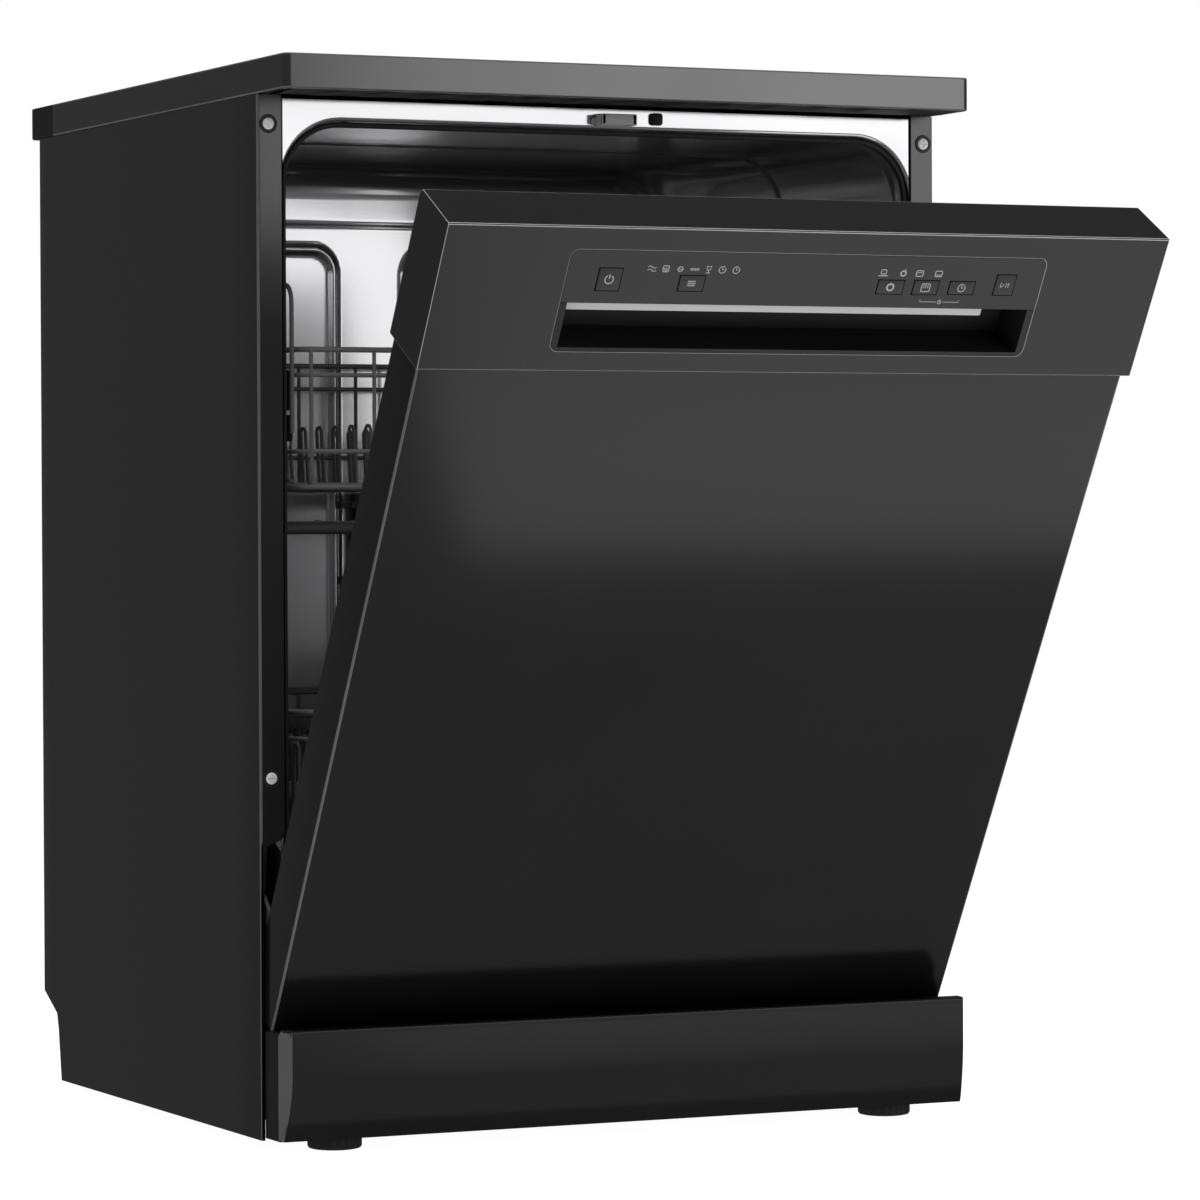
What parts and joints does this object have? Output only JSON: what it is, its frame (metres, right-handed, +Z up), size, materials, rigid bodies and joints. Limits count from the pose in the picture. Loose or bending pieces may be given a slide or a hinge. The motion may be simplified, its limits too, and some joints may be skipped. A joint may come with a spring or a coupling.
{
  "type": "dishwasher",
  "caption": "Free-standing 60 cm dishwasher with worktop, side panels, plinth, swinging door ajar, sliding racks, spinning spray arms and push buttons.",
  "frame": {"origin": "on the floor under the middle of the outline, with the door standing 30 degrees open", "axes": "+X to the right seen from the front, +Y towards the back, +Z up"},
  "size_m": [0.598, 0.9038, 0.845],
  "materials": {
    "black_paint": "gloss black powder coat",
    "black_gloss": "satin gloss black moulding",
    "black_plastic": "fine grained black moulding",
    "stainless": "bright rolled stainless",
    "zinc_steel": "zinc plated",
    "rubber": "matte",
    "grey_plastic": "satin grey moulding",
    "light_plastic": "light grey moulding",
    "rack_coating": "dipped grey nylon over steel wire",
    "white_plastic": "natural moulding"
  },
  "bodies": {
    "cabinet": {"worktop": "black_paint", "worktop_rear_cap": "black_plastic", "side_panel_left": "black_paint", "side_panel_right": "black_paint", "rear_panel": "zinc_steel", "base_tray": "black_plastic", "tub": "stainless", "tub_gasket": "rubber", "sill_seal": "rubber", "plinth": "black_paint", "striker": "light_plastic", "rack_rail_left": "stainless", "rack_rail_right": "stainless", "sump": "black_plastic", "filter_plate": "stainless", "wash_pump": "white_plastic", "drain_pump": "white_plastic", "softener": "white_plastic", "spray_feed_tube": "grey_plastic", "inlet_valve": "white_plastic", "hinge_bracket_left": "zinc_steel", "hinge_bracket_right": "zinc_steel", "door_spring_left": "zinc_steel", "door_spring_right": "zinc_steel"},
    "foot_front_left": {"foot_front_left": "black_plastic"},
    "foot_front_right": {"foot_front_right": "black_plastic"},
    "foot_rear_left": {"foot_rear_left": "black_plastic"},
    "foot_rear_right": {"foot_rear_right": "black_plastic"},
    "filter_cylinder": {"filter_cylinder": "grey_plastic"},
    "salt_cap": {"salt_cap": "grey_plastic"},
    "upper_rack": {"upper_rack": "rack_coating", "upper_spray_duct": "grey_plastic"},
    "upper_spray_arm": {"upper_spray_arm": "grey_plastic"},
    "lower_rack": {"lower_rack": "rack_coating", "cutlery_basket": "grey_plastic"},
    "rack_wheel_front_left": {"rack_wheel_front_left": "grey_plastic"},
    "rack_wheel_front_right": {"rack_wheel_front_right": "grey_plastic"},
    "rack_wheel_rear_left": {"rack_wheel_rear_left": "grey_plastic"},
    "rack_wheel_rear_right": {"rack_wheel_rear_right": "grey_plastic"},
    "lower_spray_arm": {"lower_spray_arm": "grey_plastic"},
    "door": {"door_outer_panel": "black_paint", "console": "black_gloss", "control_insert": "black_gloss", "handle_pocket": "black_plastic", "latch_body": "black_plastic", "control_board": "black_plastic", "inner_door": "stainless", "dispenser_body": "grey_plastic", "hinge_arm_left": "zinc_steel", "hinge_arm_right": "zinc_steel"},
    "handle_lever": {"handle_lever": "light_plastic"},
    "latch_hook": {"latch_hook": "zinc_steel"},
    "button_power": {"button_power": "black_gloss"},
    "button_program": {"button_program": "black_gloss"},
    "button_ring": {"button_ring": "black_gloss"},
    "button_half_load": {"button_half_load": "black_gloss"},
    "button_delay": {"button_delay": "black_gloss"},
    "button_start": {"button_start": "black_gloss"},
    "dispenser_lid": {"dispenser_lid": "grey_plastic"},
    "rinse_aid_cap": {"rinse_aid_cap": "grey_plastic"}
  },
  "joints": [
    {"name": "door_hinge", "type": "hinge", "parent": "cabinet", "child": "door", "pos_m": [0, -0.08099, 0.1792], "axis": [1, 0, 0], "range_deg": [-30, 60]},
    {"name": "handle_lever_pivot", "type": "hinge", "parent": "door", "child": "handle_lever", "pos_m": [0, -0.41304, 0.64913], "axis": [-1, 0, 0], "range_deg": [0, 15], "stiffness_Nm_per_rad": 0.4},
    {"name": "latch_hook_turn", "type": "hinge", "parent": "door", "child": "latch_hook", "pos_m": [0, -0.39881, 0.68968], "axis": [1, 0, 0], "range_deg": [0, 15]},
    {"name": "button_power_press", "type": "slide", "parent": "door", "child": "button_power", "axis": [0, 0.866, 0.5], "range_m": [0, 0.0012], "stiffness_N_per_m": 600},
    {"name": "button_program_press", "type": "slide", "parent": "door", "child": "button_program", "axis": [0, 0.866, 0.5], "range_m": [0, 0.0012], "stiffness_N_per_m": 600},
    {"name": "button_ring_press", "type": "slide", "parent": "door", "child": "button_ring", "axis": [0, 0.866, 0.5], "range_m": [0, 0.0012], "stiffness_N_per_m": 600},
    {"name": "button_half_load_press", "type": "slide", "parent": "door", "child": "button_half_load", "axis": [0, 0.866, 0.5], "range_m": [0, 0.0012], "stiffness_N_per_m": 600},
    {"name": "button_delay_press", "type": "slide", "parent": "door", "child": "button_delay", "axis": [0, 0.866, 0.5], "range_m": [0, 0.0012], "stiffness_N_per_m": 600},
    {"name": "button_start_press", "type": "slide", "parent": "door", "child": "button_start", "axis": [0, 0.866, 0.5], "range_m": [0, 0.0012], "stiffness_N_per_m": 600},
    {"name": "dispenser_lid_hinge", "type": "hinge", "parent": "door", "child": "dispenser_lid", "pos_m": [-0.049, -0.21803, 0.39337], "axis": [-1, 0, 0], "range_deg": [0, 100]},
    {"name": "rinse_aid_cap_turn", "type": "hinge", "parent": "door", "child": "rinse_aid_cap", "pos_m": [0.027, -0.23876, 0.42528], "axis": [0, 0.866, 0.5], "range_deg": [0, 90]},
    {"name": "upper_rack_slide", "type": "slide", "parent": "cabinet", "child": "upper_rack", "axis": [0, -1, 0], "range_m": [0, 0.16]},
    {"name": "upper_spray_arm_spin", "type": "hinge", "parent": "upper_rack", "child": "upper_spray_arm", "pos_m": [0, 0.15691, 0.48], "axis": [0, 0, 1], "continuous": true},
    {"name": "lower_rack_slide", "type": "slide", "parent": "cabinet", "child": "lower_rack", "axis": [0, -1, 0], "range_m": [0, 0.04]},
    {"name": "rack_wheel_front_left_roll", "type": "hinge", "parent": "lower_rack", "child": "rack_wheel_front_left", "pos_m": [-0.26, -0.01108, 0.2074], "axis": [1, 0, 0], "range_deg": [0, 136]},
    {"name": "rack_wheel_front_right_roll", "type": "hinge", "parent": "lower_rack", "child": "rack_wheel_front_right", "pos_m": [0.26, -0.01108, 0.2074], "axis": [1, 0, 0], "range_deg": [0, 136]},
    {"name": "rack_wheel_rear_left_roll", "type": "hinge", "parent": "lower_rack", "child": "rack_wheel_rear_left", "pos_m": [-0.26, 0.34092, 0.2074], "axis": [1, 0, 0], "range_deg": [0, 136]},
    {"name": "rack_wheel_rear_right_roll", "type": "hinge", "parent": "lower_rack", "child": "rack_wheel_rear_right", "pos_m": [0.26, 0.34092, 0.2074], "axis": [1, 0, 0], "range_deg": [0, 136]},
    {"name": "lower_spray_arm_spin", "type": "hinge", "parent": "cabinet", "child": "lower_spray_arm", "pos_m": [0, 0.15691, 0.21], "axis": [0, 0, 1], "continuous": true},
    {"name": "filter_turn", "type": "hinge", "parent": "cabinet", "child": "filter_cylinder", "pos_m": [0.05, 0.10691, 0.15], "axis": [0, 0, 1], "range_deg": [0, 90]},
    {"name": "salt_cap_turn", "type": "hinge", "parent": "cabinet", "child": "salt_cap", "pos_m": [-0.185, 0.06191, 0.19], "axis": [0, 0, 1], "range_deg": [0, 90]},
    {"name": "foot_front_left_screw", "type": "slide", "parent": "cabinet", "child": "foot_front_left", "axis": [0, 0, -1], "range_m": [0, 0.02]},
    {"name": "foot_front_right_screw", "type": "slide", "parent": "cabinet", "child": "foot_front_right", "axis": [0, 0, -1], "range_m": [0, 0.02]},
    {"name": "foot_rear_left_screw", "type": "slide", "parent": "cabinet", "child": "foot_rear_left", "axis": [0, 0, -1], "range_m": [0, 0.02]},
    {"name": "foot_rear_right_screw", "type": "slide", "parent": "cabinet", "child": "foot_rear_right", "axis": [0, 0, -1], "range_m": [0, 0.02]}
  ],
  "couplings": [
    {"joint": "latch_hook_turn", "follows": "handle_lever_pivot", "ratio": 1},
    {"joint": "rack_wheel_front_left_roll", "follows": "lower_rack_slide", "rad_per_m": 58.824},
    {"joint": "rack_wheel_front_right_roll", "follows": "lower_rack_slide", "rad_per_m": 58.824},
    {"joint": "rack_wheel_rear_left_roll", "follows": "lower_rack_slide", "rad_per_m": 58.824},
    {"joint": "rack_wheel_rear_right_roll", "follows": "lower_rack_slide", "rad_per_m": 58.824}
  ]
}
